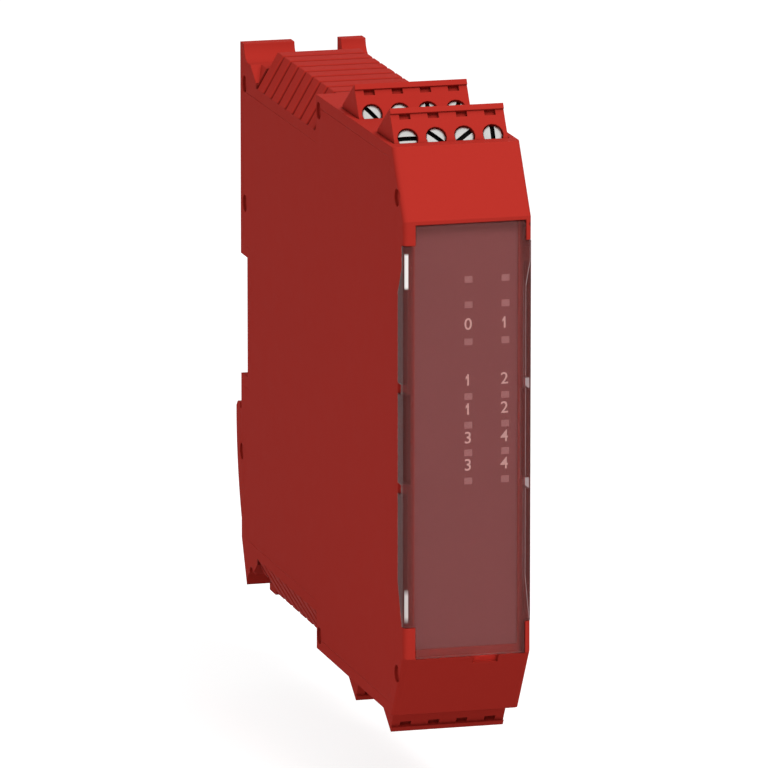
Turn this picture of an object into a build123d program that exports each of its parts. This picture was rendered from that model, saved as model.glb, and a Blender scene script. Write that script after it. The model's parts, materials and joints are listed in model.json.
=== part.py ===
from build123d import *
import math
import os

os.makedirs("parts", exist_ok=True)

# Frame: X across the module, +Y towards the rail, +Z up, millimetres.
# The origin is the middle of the rail seat, so the front face looks along -Y.

# Housing
housing_height = 99.0
seat_depth = 110.5
slant_run = 7.3
slant_rise = 11.5
corner_round = 0.9
side_wall = 1.1
rim_wall = 2.0
ledge = 1.0
front_wall = 4.6
fit_gap = 0.1
over = 1.0  # how far a cut runs past a face

# Ventilated top and bottom
vent_setback = 11.5
vent_ribs = 8
rib_pitch = 5.0
rib_gap = 0.55
rib_height = 0.9
rib_bevel = 0.5
chamfer_height = 6.5
chamfer_width = 3.75
slot_margin = 1.1
ramp_lead = 1.2
trough_depth = 3.0
trough_rise = 2.6
trough_sag = 0.9
top_fin = 2.6
bottom_fin = 3.7
fin_gap_start = -1.9
fin_gap_width = 8.6

# Rail seat
rail_height = 35.0
rail_thickness = 1.0
rail_play = 0.2
hook_reach = 4.0
hook_width = 12.0
hook_overlap = 1.2
hook_height = 5.0
hook_lead = 0.8
hook_slope = 3.0
lip_overlap = 0.7
lip_slot_depth = 1.2
recess_height = 22.0
recess_depth = 4.6
foot_run = 8.2

# Rail latch
latch_width = 12.0
latch_thickness = 4.1
latch_clearance = 0.15
latch_reach = 2.0
latch_window_width = 5.0
latch_window_drop = 9.5
latch_window_rise = 5.0
latch_skin = 0.6
latch_eye_width = 6.0
latch_eye_height = 1.6
latch_lead = 1.0
latch_nose = 3.0
latch_belly = 1.1
latch_toe = 3.6
latch_toe_face = 0.4
latch_tongue_rise = 3.0
peg_height = 2.0
spring_diameter = 3.2
spring_wire = 0.5
spring_turns = 5
spring_sides = 4

# Plug-in terminals
pole_count = 4
pole_pitch = 5.0
plug_thickness = 9.6
plug_length = 15.5
plug_set_back = 2.8
plug_rise = 5.3
plug_row_pitch = 23.0
plug_clearance = 0.15
bottom_sink = 1.4
well_wall = 1.5
plug_lip = 0.35
plug_lip_height = 1.0
plug_chamfer = 0.6
notch_width = 1.95
notch_height = 1.0
notch_depth = 0.7
screw_drop = 5.45
screw_head = 3.5
screw_hole = 3.7
screw_sides = 16
thread_sides = 6
thread_gap = 0.12
screw_sink = 0.35
screw_head_height = 1.6
screw_shank = 2.4
screw_slot = 0.65
screw_slot_depth = 0.7
screw_point = 0.6
screw_turns = ((0, -48, 42, 90), (-40, 12, 90, 65))
clamp_width = 3.8
clamp_depth = 4.6
clamp_length = 6.0
clamp_wall = 0.6
clamp_start = 3.4
entry_width = 3.0
entry_height = 3.2
entry_depth = 1.4
pin_size = 1.0
pin_reach = 6.0
pin_tail = 2.1
tail_order = (-1.5, -0.5, 1.5, 0.5)
socket_size = 2.2
contact_wall = 0.35
contact_floor = 0.8
contact_gap = 0.2
socket_mouth = 0.6
header_height = 3.6
header_gap = 0.1
tail_thickness = 0.7
tail_drop = 0.2

# Front cover and label panel
cover_thickness = 1.4
cover_top_inset = 0.8
cover_left_inset = 2.2
cover_right_inset = 1.15
cover_gap = 0.15
shoulder_top_drop = 4.3
shoulder_bottom_rise = 5.6
flange_thickness = 1.0
flange_depth = 3.9
flange_end = 12.8
flange_taper = 1.3
cover_round = 0.6
pad_height = 15.6
pad_thickness = 1.5
pad_slot = 1.8
pad_bridge = 0.4
hinge_pin = 1.0
hinge_pin_length = 0.8
hinge_fit = 0.05
hinge_end_play = 0.1
pry_left = 1.1
pry_width = 4.5
pry_height = 1.5
panel_thickness = 1.0
panel_inset = 0.3
window_left_inset = 2.25
window_right_inset = 1.95
window_end_inset = 1.2
window_ledge = 1.0
window_end_ledge = 3.0
light_width = 1.45
light_height = 1.2
light_columns = (0.6, 7.1)
light_rows = (27.2, 22.8, 16.4, 6.9, 1.9, -2.9, -7.8)
light_gap = 0.03
guide_strip = 1.0
guide_strip_depth = 1.0
guide_strip_end = 2.0

# Side cover dimples, as distance from the front and height
dimple_diameter = 3.1
dimple_depth = 0.5
dimple_sides = 16
front_dimple = 4.5
front_dimple_drop = 8.1
vent_dimple_lead = 3.0
edge_dimple_drop = 2.6
back_dimple = 3.0
back_dimple_drop = 7.2
tab_dimple_drop = 28.9
foot_dimple = 7.0
latch_dimple_drop = 8.0

# Electronics
board_thickness = 1.6
board_gap = 0.35
board_edge = 10.0
board_lead = 11.0
board_play = 0.4
board_step = 1.2
ear_inset = 2.4
ear_gap = 0.3
relay_count = 4
relay_length = 29.0
relay_width = 10.4
relay_height = 15.0
relay_pitch = 12.0
relay_lead = 7.5
relay_edge = 2.0
relay_round = 0.8
relay_mark = 1.0
relay_mark_height = 0.2
core_lead = 6.0
core_bottom = 6.0
core_size = 20.0
core_height = 11.0
core_limb = 4.0
core_bridge = 6.0
winding_height = 9.0
winding_gap = 0.2
capacitor_count = 3
capacitor_diameter = 8.0
capacitor_height = 12.0
capacitor_pitch = 9.5
capacitor_step = 1.5
capacitor_lead = 21.5
capacitor_first = 13.0
processor_size = 10.0
processor_thickness = 1.4
processor_chamfer = 0.2
processor_places = ((14.0, 8.0), (30.0, 4.0))
lead_reach = 0.8
lead_thickness = 0.25
fuse_lead = 13.0
fuse_bottom = 20.0
fuse_length = 6.0
fuse_thickness = 2.6
driver_count = 3
driver_pitch = 9.0
driver_place = (14.0, -8.0)
driver_width = 5.0
driver_length = 6.2
driver_thickness = 1.7
crystal_place = (32.0, -24.0)
crystal_width = 4.6
crystal_length = 11.0
crystal_height = 3.5
crystal_round = 1.8
front_board_setback = 6.6
front_board_top = 30.0
front_board_bottom = -20.0
front_board_gap = 0.6
led_size = 1.6
led_height = 0.9
led_shift = 0.9
link_width = 2.6
link_depth = 5.0
link_top = 6.0
link_bottom = -14.0

# Bus contacts
bus_width = 16.0
bus_height = 9.0
bus_depth = 8.0
blade_count = 5
blade_pitch = 1.5
blade_width = 12.0
blade_thickness = 0.5
blade_root = 3.0
blade_reach = 3.4

# Values worked out from the sizes above
plug_width = pole_count * pole_pitch
housing_width = plug_width + 2 * (plug_clearance + side_wall)
half_width = housing_width / 2
half_height = housing_height / 2
half_flat = half_height - slant_rise
inner_half = half_width - side_wall
slant = math.degrees(math.atan2(slant_run, slant_rise))
slant_sin = math.sin(math.radians(slant))
slant_cos = math.cos(math.radians(slant))
vent_end = seat_depth - vent_setback
vent_start = vent_end - vent_ribs * rib_pitch
slot_half_length = half_width - chamfer_width - slot_margin
chamfer_foot = half_height - chamfer_height
half_recess = recess_height / 2
half_rail = rail_height / 2
recess_floor = seat_depth - recess_depth
slot_width = rail_thickness + rail_play
pole_places = [(k - (pole_count - 1) / 2) * pole_pitch for k in range(pole_count)]
board_right = inner_half - board_gap
board_left = board_right - board_thickness
clamp_middle = clamp_start + clamp_depth / 2
header_reach = plug_length + plug_clearance + header_height
latch_bottom = half_height + latch_reach
latch_window_top = half_rail + latch_window_drop
latch_window_bottom = half_height - latch_window_rise
cover_top = half_flat - cover_top_inset
cover_bottom = half_flat
cover_left = half_width - cover_left_inset
cover_right = half_width - cover_right_inset
shoulder_top = half_flat - shoulder_top_drop
shoulder_bottom = half_flat - shoulder_bottom_rise
flange_straight = half_flat - flange_end
window_left = half_width - window_left_inset
window_right = half_width - window_right_inset
window_height = 2 * (half_flat - window_end_inset)
board_top = half_height - board_edge
board_start = vent_start - board_lead
core_start = vent_start - core_lead
latch_dimple = (seat_depth, -half_rail - latch_dimple_drop)
dimple_places = (
    (front_dimple, half_height - front_dimple_drop),
    (front_dimple, front_dimple_drop - half_height),
    (vent_start - vent_dimple_lead, half_height - edge_dimple_drop),
    (vent_start - vent_dimple_lead, edge_dimple_drop - half_height),
    (seat_depth - back_dimple, half_height - back_dimple_drop),
    (seat_depth - back_dimple, half_height - tab_dimple_drop),
    (seat_depth - foot_dimple, edge_dimple_drop - half_height),
    latch_dimple,
)


# Basic shapes
def depth(value):
    # distance behind the front face, as a Y value
    return value - seat_depth


def block(x0, x1, y0, y1, z0, z1):
    centre = Pos((x0 + x1) / 2, (y0 + y1) / 2, (z0 + z1) / 2)
    return centre * Box(x1 - x0, y1 - y0, z1 - z0)


def slab(points, x0, x1):
    # side outline given as (distance from front, height), extruded across X
    corners = [(x0, depth(y), z) for y, z in points]
    return extrude(make_face(Polyline(*corners, close=True)), amount=x1 - x0, dir=(1, 0, 0))


def flipped(shape):
    return mirror(shape, about=Plane.XY)


def prism(diameter, sides, length):
    # upright bar with many sides, centred like a cylinder
    return Pos(0, 0, -length / 2) * extrude(RegularPolygon(diameter / 2, sides), amount=length)


# The tilted frame of one terminal: X across, Y into the housing, Z the way it unplugs
def terminalFrame(row, sink):
    y, z = terminalPoint(row, 0, -sink)
    normal = (0, slant_sin, slant_cos)
    return Plane(origin=(0, depth(y), z), x_dir=(1, 0, 0), z_dir=normal).location


def terminalPoint(row, inward, along):
    # a point of that frame as distance from the front and height
    rise = half_height + plug_rise
    start_y = slant_cos * plug_set_back
    start_z = half_flat - slant_sin * plug_set_back
    run = (rise - start_z) / slant_cos
    front = start_y + slant_sin * run + row * plug_row_pitch
    return (front + slant_cos * inward + slant_sin * along,
            rise - slant_sin * inward + slant_cos * along)


# Side outline of the housing without its rail foot
def housingOutline():
    return [
        (0, -half_flat), (0, half_flat), (slant_run, half_height),
        (seat_depth, half_height), (seat_depth, half_recess),
        (recess_floor, half_recess), (recess_floor, -half_recess),
        (seat_depth, -half_recess), (seat_depth, -half_height + foot_run),
        (seat_depth - bottom_fin, -half_height), (slant_run, -half_height),
    ]


def housingBlock():
    body = slab(housingOutline(), -half_width, half_width)
    # the long edges between the sides and the front and slanted faces are rounded
    limit = depth(slant_run) + fit_gap
    edges = [
        edge for edge in body.edges()
        if abs(abs(edge.center().X) - half_width) < fit_gap and edge.center().Y < limit
    ]
    return fillet([edge for edge in edges if edge.bounding_box().max.Y < limit], corner_round)


# The room for the boards, behind the front wall and inside the rim
def cavityOutline(rim):
    back = seat_depth - rim_wall - rim
    channel = recess_floor - rim_wall
    roof = half_height - rim_wall - rim
    shallow = chamfer_foot - rim_wall - rim
    side = half_recess + rim_wall
    front = front_wall + rim
    return [
        (front, -half_flat + rim), (front, half_flat - rim), (slant_run + rim_wall + rim, roof),
        (vent_end - rim_wall, roof), (vent_end - rim_wall, shallow), (back, shallow),
        (back, side), (channel, side), (channel, -shallow),
        (vent_end - rim_wall, -shallow), (vent_end - rim_wall, -roof),
        (slant_run + rim_wall + rim, -roof),
    ]


# Slopes where the vented stretch leaves the side walls
def ventSlope(top_length, inset):
    low = [(-half_width - over, chamfer_foot), (-half_width, chamfer_foot)]
    if inset:
        low.append((-half_width + inset, chamfer_foot - inset / 2))
    high = [
        (-half_width + chamfer_width + inset / 2, half_height - inset),
        (-half_width + chamfer_width + inset / 2, half_height + over),
        (-half_width - over, half_height + over),
    ]
    corners = [(x, 0, z) for x, z in low + high]
    face = make_face(Polyline(*corners, close=True))
    prism = Pos(0, depth(vent_start), 0) * extrude(face, amount=top_length, dir=(0, 1, 0))
    return prism + mirror(prism, about=Plane.YZ)


def slopeCutter(fin):
    reach = seat_depth - fin
    start = vent_start - ramp_lead
    low = chamfer_foot - over
    high = half_height + over
    outline = [(start, high), (start, low), (vent_end - over, low), (vent_end - over, chamfer_foot),
               (reach, half_height), (reach, high)]
    limit = slab(outline, -half_width - over, half_width + over)
    return limit & (Pos(0, -ramp_lead, 0) * ventSlope(seat_depth - vent_start, 0))


# One bevelled rib that runs up one slope, over the top and down the other
def ventRib():
    outer = [
        (-half_width, chamfer_foot), (-half_width + chamfer_width, half_height),
        (half_width - chamfer_width, half_height), (half_width, chamfer_foot),
    ]
    root = rib_height * 1.5
    inner = [
        (half_width - rib_height, chamfer_foot - rib_height / 2),
        (half_width - chamfer_width - rib_height / 2, half_height - root),
        (-half_width + chamfer_width + rib_height / 2, half_height - root),
        (-half_width + rib_height, chamfer_foot - rib_height / 2),
    ]
    corners = [(x, 0, z) for x, z in outer + inner]
    width = rib_pitch - rib_gap
    rib = extrude(make_face(Polyline(*corners, close=True)), amount=width, dir=(0, 1, 0))
    edges = [
        edge for edge in rib.edges()
        if edge.center().Z > chamfer_foot + rib_bevel
        and abs(edge.tangent_at(0).Y) < 0.1
        and not insideRib(edge.center())
    ]
    return chamfer(edges, rib_bevel)


def insideRib(point):
    # true for the edges on the hidden underside of the rib
    reach = abs(point.X)
    if reach < chamfer_width / 2:
        return point.Z < half_height - rib_height / 2
    middle = half_width - chamfer_width / 2
    return reach < middle - rib_height / 4


def ventRibs():
    rib = ventRib()
    return [
        Pos(0, depth(vent_start + (k + 0.5) * rib_pitch - (rib_pitch - rib_gap) / 2), 0) * rib
        for k in range(vent_ribs)
    ]


# What the ribs stand on: the vented stretch is lowered by the height of a rib
def ventBed():
    length = vent_end - vent_start
    flat = block(
        -half_width, half_width, depth(vent_start), depth(vent_end),
        half_height - rib_height, half_height + over,
    )
    return flat + ventSlope(length, rib_height)


def ventSlots():
    first = depth(vent_start)
    return [
        block(
            -slot_half_length, slot_half_length,
            first + k * rib_pitch - rib_gap / 2, first + k * rib_pitch + rib_gap / 2,
            half_height - rim_wall - over, half_height + over,
        )
        for k in range(1, vent_ribs)
    ]


# The hollow behind the ribs, whose floor curves up to a fin at the back edge
def trough(fin):
    floor = half_height - trough_depth
    reach = seat_depth - fin
    top = (0, depth(reach), half_height + over)
    start = (0, depth(vent_end), half_height + over)
    corner = (0, depth(vent_end), floor)
    turn = (0, depth(reach - trough_rise), floor)
    bend = (0, depth(reach - trough_sag), floor + trough_sag)
    outline = [Line(top, start), Line(start, corner), Line(corner, turn)]
    face = make_face(Wire(outline + [ThreePointArc(turn, bend, top)]))
    width = housing_width + 2 * over
    return Pos(-width / 2, 0, 0) * extrude(face, amount=width, dir=(1, 0, 0))


# Wells that take the plug-in terminals
def wellBlock(row, sink):
    body = block(
        -inner_half, inner_half + side_wall / 2,
        -well_wall - plug_clearance, plug_thickness + plug_clearance + well_wall,
        -header_reach, plug_rise * 2,
    )
    return terminalFrame(row, sink) * body & housingBlock()


def wellRoom(row, sink):
    body = block(
        -inner_half, inner_half, -plug_clearance, plug_thickness + plug_clearance,
        -header_reach - over, plug_rise * 4,
    )
    return terminalFrame(row, sink) * body


# Rail hook at the top and its slot
def railHook():
    root = seat_depth - hook_lead
    slot_top = half_rail + rail_play
    lip = half_rail - hook_overlap
    high = half_rail + hook_height
    outline = [
        (root, lip), (seat_depth, lip), (seat_depth, slot_top),
        (seat_depth + slot_width, slot_top), (seat_depth + slot_width, lip),
        (seat_depth + hook_reach - hook_lead, lip),
        (seat_depth + hook_reach, lip + hook_lead), (seat_depth + hook_reach, high - hook_slope),
        (seat_depth, high), (root, high),
    ]
    return slab(outline, -hook_width / 2, hook_width / 2)


# Channel for the rail latch, open to the back and below
def latchChannel():
    side = latch_width / 2 + latch_clearance
    front = depth(seat_depth - latch_thickness - latch_clearance)
    top = -(half_recess + rim_wall + latch_clearance)
    return block(-side, side, front, over, -half_height - over, top)


def springPeg():
    half = latch_window_width / 2 - latch_clearance
    front = depth(seat_depth - latch_thickness - over)
    low = -latch_window_bottom + fit_gap
    return block(-half, half, front, front + latch_thickness, low, low + peg_height)


# Recesses for the front cover
def coverSeat():
    floor = cover_thickness + fit_gap
    wide = block(
        -half_width - over, half_width + over, depth(-over), depth(floor),
        -shoulder_bottom - cover_gap, shoulder_top + cover_gap,
    )
    narrow = block(
        -cover_left - cover_gap, cover_right + cover_gap, depth(-over), depth(floor),
        -cover_bottom - cover_gap, cover_top + cover_gap,
    )
    pry = block(
        pry_left, pry_left + pry_width, depth(-over), depth(cover_thickness),
        -cover_bottom - pry_height, -cover_bottom + over,
    )
    return wide + narrow + pry + flangeSlots()


def flangeOutline(gap):
    top = shoulder_top - flange_taper + 2 * gap
    low = shoulder_bottom + gap
    reach = flange_depth + gap
    straight = flange_straight + gap
    return [(0, top), (reach, straight), (reach, -straight), (flange_taper + gap, -low), (0, -low)]


def flangeSlots():
    inner = half_width - flange_thickness - fit_gap
    front = [(-over, -shoulder_bottom), (-over, shoulder_top)]
    right = slab(flangeOutline(cover_gap) + front, inner, half_width + over)
    tall = pad_height / 2 + cover_gap
    right += block(half_width - pad_thickness - fit_gap, half_width, depth(0),
                   depth(flange_depth + cover_gap), -tall, tall)
    return right + mirror(right, about=Plane.YZ)


def hingeHoles():
    length = hinge_pin_length + cover_gap
    hole = Cylinder(hinge_pin / 2 + hinge_fit, 2 * length, rotation=(0, 90, 0))
    y = depth(cover_thickness / 2)
    z = cover_top - cover_thickness / 2
    return Pos(-cover_left, y, z) * hole + Pos(cover_right, y, z) * hole


def panelWindow():
    seat = cover_thickness + fit_gap
    half = window_height / 2
    shelf = seat + panel_inset + panel_thickness
    front = block(-window_left, window_right, depth(seat - over), depth(shelf), -half, half)
    low = half - window_end_ledge
    back = block(
        -window_left + window_ledge, window_right - window_ledge,
        depth(seat), depth(front_wall + over), -low, low,
    )
    return front + back


def dimple(y, z):
    # round hollow in the left side
    disc = prism(dimple_diameter, dimple_sides, 2 * dimple_depth)
    return Pos(-half_width, depth(y), z) * Rot(0, 90, 0) * disc


def dimples():
    return [dimple(y, z) for y, z in dimple_places]


def housingShell():
    shell = housingBlock()
    shell -= slab(cavityOutline(0), -inner_half + ledge, inner_half)
    shell -= slab(cavityOutline(ledge), -half_width - over, inner_half - ledge)
    shell -= sideOpening()
    for row in (0, 1):
        shell = shell + wellBlock(row, 0) + flipped(wellBlock(row, bottom_sink))
    corners = slopeWalls()
    shell = shell + corners + flipped(corners)
    for row in (0, 1):
        shell = shell - wellRoom(row, 0) - flipped(wellRoom(row, bottom_sink))
    top_cut = slopeCutter(top_fin) + trough(top_fin) + ventBed()
    low_cut = flipped(slopeCutter(bottom_fin) + trough(bottom_fin) + ventBed())
    shell = shell - top_cut - low_cut
    for rib in ventRibs():
        shell = shell + rib + flipped(rib)
    for slot in ventSlots():
        shell = shell - slot - flipped(slot)
    shell -= block(
        fin_gap_start, fin_gap_start + fin_gap_width,
        depth(seat_depth - top_fin - trough_rise), over,
        half_height - trough_depth, half_height + over,
    )
    shell = shell - coverSeat() - hingeHoles() - panelWindow()
    shell = shell + railHook() - latchChannel() + springPeg()
    shell -= busOpening()
    for hollow in dimples():
        shell -= hollow
    return shell


# Inner skin behind the sloped corners of the vented stretch
def slopeWalls():
    low = chamfer_foot - rim_wall
    corners = [
        (-half_width, 0, low), (-inner_half + ledge, 0, low),
        (-half_width + chamfer_width + rim_wall, 0, half_height - rim_wall),
        (-half_width + chamfer_width, 0, half_height), (-half_width, 0, half_height),
    ]
    length = vent_end - vent_start + rim_wall
    face = make_face(Polyline(*corners, close=True))
    prism = Pos(0, depth(vent_start - rim_wall), 0) * extrude(face, amount=length, dir=(0, 1, 0))
    return prism + mirror(prism, about=Plane.YZ)


# Outline of the left side cover and of the opening that it closes
def sideOutline(gap):
    edge = rim_wall + gap
    vent = chamfer_foot - rim_wall - gap
    roof = half_height - edge
    back = seat_depth - edge
    inner = recess_floor - edge
    front = flange_depth + ledge + gap
    return [
        (front, -half_flat), (front, half_flat),
        (slant_run + edge, roof), (vent_start - edge, roof), (vent_start - edge, vent),
        (back, vent), (back, half_recess + edge), (inner, half_recess + edge),
        (inner, -half_recess - edge), (back, -half_recess - edge), (back, -vent + bottom_fin),
        (back - bottom_fin / 2, -vent), (vent_start - edge, -vent), (vent_start - edge, -roof),
        (slant_run + edge, -roof),
    ]


def sideOpening():
    return slab(sideOutline(0), -half_width - over, -inner_half)


def sideCover():
    plate = slab(sideOutline(fit_gap / 2), -half_width, -inner_half)
    for hollow in dimples():
        plate -= hollow
    return plate


# Latch that slides down to free the rail
def latchOutline():
    start = depth(seat_depth + fit_gap)
    slot = start + slot_width
    reach = depth(seat_depth + hook_reach)
    lip = -half_rail + lip_overlap
    floor = -half_rail - rail_play
    toe = (0, start + latch_toe_face, -half_height + foot_run + latch_toe)
    nose = (0, reach, lip - latch_nose)
    belly = (0, reach - latch_belly, (toe[2] + nose[2]) / 2 - latch_belly / 2)
    slotted = [(start, floor), (slot, floor), (slot, lip), (reach - latch_lead, lip),
               (reach, lip - latch_lead)]
    over_slot = Polyline(*[(0, y, z) for y, z in slotted], nose)
    under = Polyline(toe, (0, start, toe[2]), (0, start, floor))
    return over_slot.edges() + [ThreePointArc(nose, belly, toe)] + under.edges()


def railLatch():
    width = housing_width - 2 * fit_gap
    face = make_face(Wire(latchOutline()))
    bar = Pos(-width / 2, 0, 0) * extrude(face, amount=width, dir=(1, 0, 0))
    half = latch_width / 2
    front = depth(seat_depth - latch_thickness)
    back = depth(seat_depth + fit_gap)
    tongue = block(-half, half, front, back + fit_gap, -latch_bottom, -half_rail - latch_tongue_rise)
    latch = bar + tongue
    window = latch_window_width / 2
    latch -= block(-window, window, front - over, back - latch_skin,
                   -latch_window_bottom, -latch_window_top)
    eye = latch_eye_width / 2
    low = -latch_bottom + over
    latch -= block(-eye, eye, front - over, over, low, low + latch_eye_height)
    return latch - dimple(*latch_dimple)


def latchSpring():
    low = -latch_window_bottom + fit_gap + peg_height
    length = latch_window_bottom - latch_window_top - peg_height - fit_gap
    rise = length - spring_wire - fit_gap
    radius = (spring_diameter - spring_wire) / 2
    front = seat_depth - latch_thickness - latch_clearance
    y = depth((front + seat_depth + fit_gap - latch_skin) / 2)
    path = Helix(pitch=rise / spring_turns, height=rise, radius=radius)
    start = Plane(origin=path @ 0, z_dir=path % 0)
    wire = sweep(start * RegularPolygon(spring_wire / 2, spring_sides), path=path)
    return Pos(0, y, low + (spring_wire + fit_gap) / 2) * wire


# One plug-in terminal in its own frame, top front edge at the origin
def plugBody():
    half = plug_width / 2
    body = block(-half, half, 0, plug_thickness, -plug_length, 0)
    body += block(-half, half, -plug_lip, 0, -plug_lip_height, 0)
    body = chamfer(body.edges().group_by(Axis.Z)[-1].group_by(Axis.Y)[-1], plug_chamfer)
    for x in pole_places:
        body -= plugPole(x)
    return body


def plugPole(x):
    # everything that one pole takes out of the plug's body
    wide = notch_width / 2
    notch = block(x - wide, x + wide, -over, notch_depth,
                  -plug_lip_height - notch_height, -plug_lip_height)
    hole = prism(screw_hole, screw_sides, clamp_start + over)
    bore = Pos(x, (clamp_start - over) / 2, -screw_drop) * Rot(90, 0, 0) * hole
    room = clamp_width / 2 + fit_gap
    cage = block(x - room, x + room, clamp_start - fit_gap, clamp_start + clamp_depth + fit_gap,
                 -entry_depth - clamp_length - 2 * fit_gap, -entry_depth)
    mouth = block(x - entry_width / 2, x + entry_width / 2,
                  clamp_middle - entry_height / 2, clamp_middle + entry_height / 2, -entry_depth - over, over)
    side = socket_size / 2
    socket = block(x - side, x + side, plug_thickness / 2 - side, plug_thickness / 2 + side,
                   -plug_length - over, -entry_depth - clamp_length)
    return notch + bore + cage + mouth + socket


def terminalScrews(row):
    return [terminalScrew(x, turn) for x, turn in zip(pole_places, screw_turns[row])]


def terminalScrew(x, turn):
    head = prism(screw_head, screw_sides, screw_head_height)
    slot = Pos(0, 0, screw_head_height / 2) * Box(
        screw_head * 2, screw_slot, 2 * screw_slot_depth)
    length = clamp_start + clamp_wall + screw_point - screw_sink - screw_head_height
    shank = Pos(0, 0, -(screw_head_height + length) / 2) * prism(screw_shank, thread_sides, length)
    screw = head - Rot(0, 0, turn) * slot + shank
    middle = screw_sink + screw_head_height / 2
    return Pos(x, middle, -screw_drop) * Rot(90, 0, 0) * screw


def terminalClamps():
    clamps = []
    for x in pole_places:
        half = clamp_width / 2
        low = -entry_depth - clamp_length - fit_gap
        cage = block(x - half, x + half, clamp_start, clamp_start + clamp_depth,
                     low, low + clamp_length)
        hollow = block(x - half + clamp_wall, x + half - clamp_wall, clamp_start + clamp_wall,
                       clamp_start + clamp_depth - clamp_wall, low - over, low + clamp_length + over)
        hole = prism(screw_shank + thread_gap, thread_sides, 3 * clamp_wall)
        thread = Pos(x, clamp_start, -screw_drop) * Rot(90, 0, 0) * hole
        clamps.append(cage - hollow - thread)
    return clamps


def plugContacts():
    contacts = []
    half = socket_size / 2 - fit_gap
    bore = half - contact_wall
    middle = plug_thickness / 2
    top = -entry_depth - clamp_length - 2 * fit_gap - contact_gap
    low = -plug_length + socket_mouth
    for x in pole_places:
        tube = block(x - half, x + half, middle - half, middle + half, low, top)
        tube -= block(x - bore, x + bore, middle - bore, middle + bore, low - over, top - contact_floor)
        contacts.append(tube)
    return contacts


def headerBody():
    top = -plug_length - plug_clearance
    side = inner_half - fit_gap
    play = plug_clearance - header_gap
    body = block(-side, side, -play, plug_thickness + play, top - header_height, top)
    middle = plug_thickness / 2
    for x in pole_places:
        hole = pin_size / 2
        body -= block(x - hole, x + hole, middle - hole, middle + hole,
                      top - header_height - over, top + over)
    return body


# Each pin's tail steps sideways first, so that the tails pass clear of each other
def headerPins():
    top = -plug_length - plug_clearance
    middle = plug_thickness / 2
    half = pin_size / 2
    high = top - header_height - tail_drop
    low = high - tail_thickness
    pins = []
    for x, share in zip(pole_places, tail_order):
        pin = block(x - half, x + half, middle - half, middle + half, low, top + pin_reach)
        pin = chamfer(pin.edges().group_by(Axis.Z)[-1], pin_size / 4)
        side = middle + share * pin_tail
        foot = block(x - half, x + half, min(side, middle) - half, max(side, middle) + half,
                     low, high)
        tail = block(x - half, board_left, side - half, side + half, low, high)
        pins.append(pin + foot + tail)
    return pins


# Front cover, hinged along its top edge
def statusCover():
    nose = cover_thickness / 2
    wide = block(-half_width, half_width, depth(0), depth(cover_thickness),
                 -shoulder_bottom, shoulder_top)
    narrow = block(-cover_left, cover_right, depth(0), depth(cover_thickness),
                   -cover_bottom, cover_top - nose)
    length = cover_left + cover_right
    pin_length = length + 2 * (hinge_pin_length + cover_gap - hinge_end_play)
    centre = Pos((cover_right - cover_left) / 2, depth(nose), cover_top - nose)
    edge = centre * Cylinder(nose, length, rotation=(0, 90, 0))
    pins = centre * Cylinder(hinge_pin / 2, pin_length, rotation=(0, 90, 0))
    cover = wide + narrow
    for side in (-1, 1):
        cover = cover + coverFlange(side, flange_thickness) - padSlots(side)
    front = cover.edges().filter_by(Axis.Z).group_by(Axis.Y)[0]
    outer = [edge_ for edge_ in front if abs(edge_.center().X) > inner_half]
    cover = fillet(outer, cover_round)
    for side in (-1, 1):
        cover += coverFlange(side, pad_thickness) & gripSpace(side)
    return cover + edge + pins


def coverFlange(side, thickness):
    x0, x1 = sorted((side * (half_width - thickness), side * half_width))
    return slab(flangeOutline(0), x0, x1)


def gripSpace(side):
    # where the springy grip is thicker than the flange
    half = pad_height / 2
    x0, x1 = sorted((side * (half_width - 2 * pad_thickness), side * (half_width - flange_thickness / 2)))
    return block(x0, x1, depth(cover_thickness), depth(flange_depth), -half, half)


def padSlots(side):
    # slots above and below the springy grip in the flange
    half = pad_height / 2
    x0, x1 = sorted((side * (half_width - 2 * pad_thickness), side * (half_width + over)))
    start = depth(cover_thickness + pad_bridge)
    end = depth(flange_depth + over)
    high = block(x0, x1, start, end, half, half + pad_slot)
    return high + flipped(high)


def frontPanel():
    seat = cover_thickness + fit_gap + panel_inset
    half = window_height / 2 - fit_gap
    panel = block(-window_left + fit_gap, window_right - fit_gap,
                  depth(seat), depth(seat + panel_thickness), -half, half)
    for x in light_columns:
        for z in light_rows:
            panel -= block(x - light_width / 2, x + light_width / 2, depth(seat - over),
                           depth(seat + panel_thickness + over), z - light_height / 2,
                           z + light_height / 2)
    return panel


def lightGuide(x):
    back = cover_thickness + fit_gap + panel_inset + panel_thickness
    strip = block(x - guide_strip, x + guide_strip, depth(back), depth(back + guide_strip_depth),
                  light_rows[-1] - guide_strip_end, light_rows[0] + guide_strip_end)
    wide = light_width / 2 - light_gap
    tall = light_height / 2 - light_gap
    for z in light_rows:
        strip += block(x - wide, x + wide, depth(back - panel_thickness),
                       depth(back + guide_strip_depth / 2), z - tall, z + tall)
    return strip


# Boards and what they carry
def halfBoardOutline(sink):
    # upper half of the board's outline, from the front to the back
    drop = -header_reach - ear_gap - sink
    waist = terminalPoint(0, plug_thickness, drop)[1] - board_step
    corners = []
    for row in (0, 1):
        near = terminalPoint(row, ear_inset, drop)
        far = terminalPoint(row, plug_thickness, drop)
        corners += [(near[0], waist), near, far, (far[0], waist)]
    high = vent_end - rim_wall - board_play
    corners += [(board_start, waist), (board_start, board_top), (high, board_top),
                (high, half_recess), (recess_floor - rim_wall - board_play, half_recess)]
    return corners[1:]


def boardOutline():
    lower = [(y, -z) for y, z in reversed(halfBoardOutline(bottom_sink))]
    return halfBoardOutline(0) + lower


def mainBoard():
    return slab(boardOutline(), board_left, board_right)


def onBoard(y, z, length, height, tall):
    # a component that stands on the board, towards the left side
    return block(board_left - tall, board_left, depth(y), depth(y + length), z, z + height)


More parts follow.
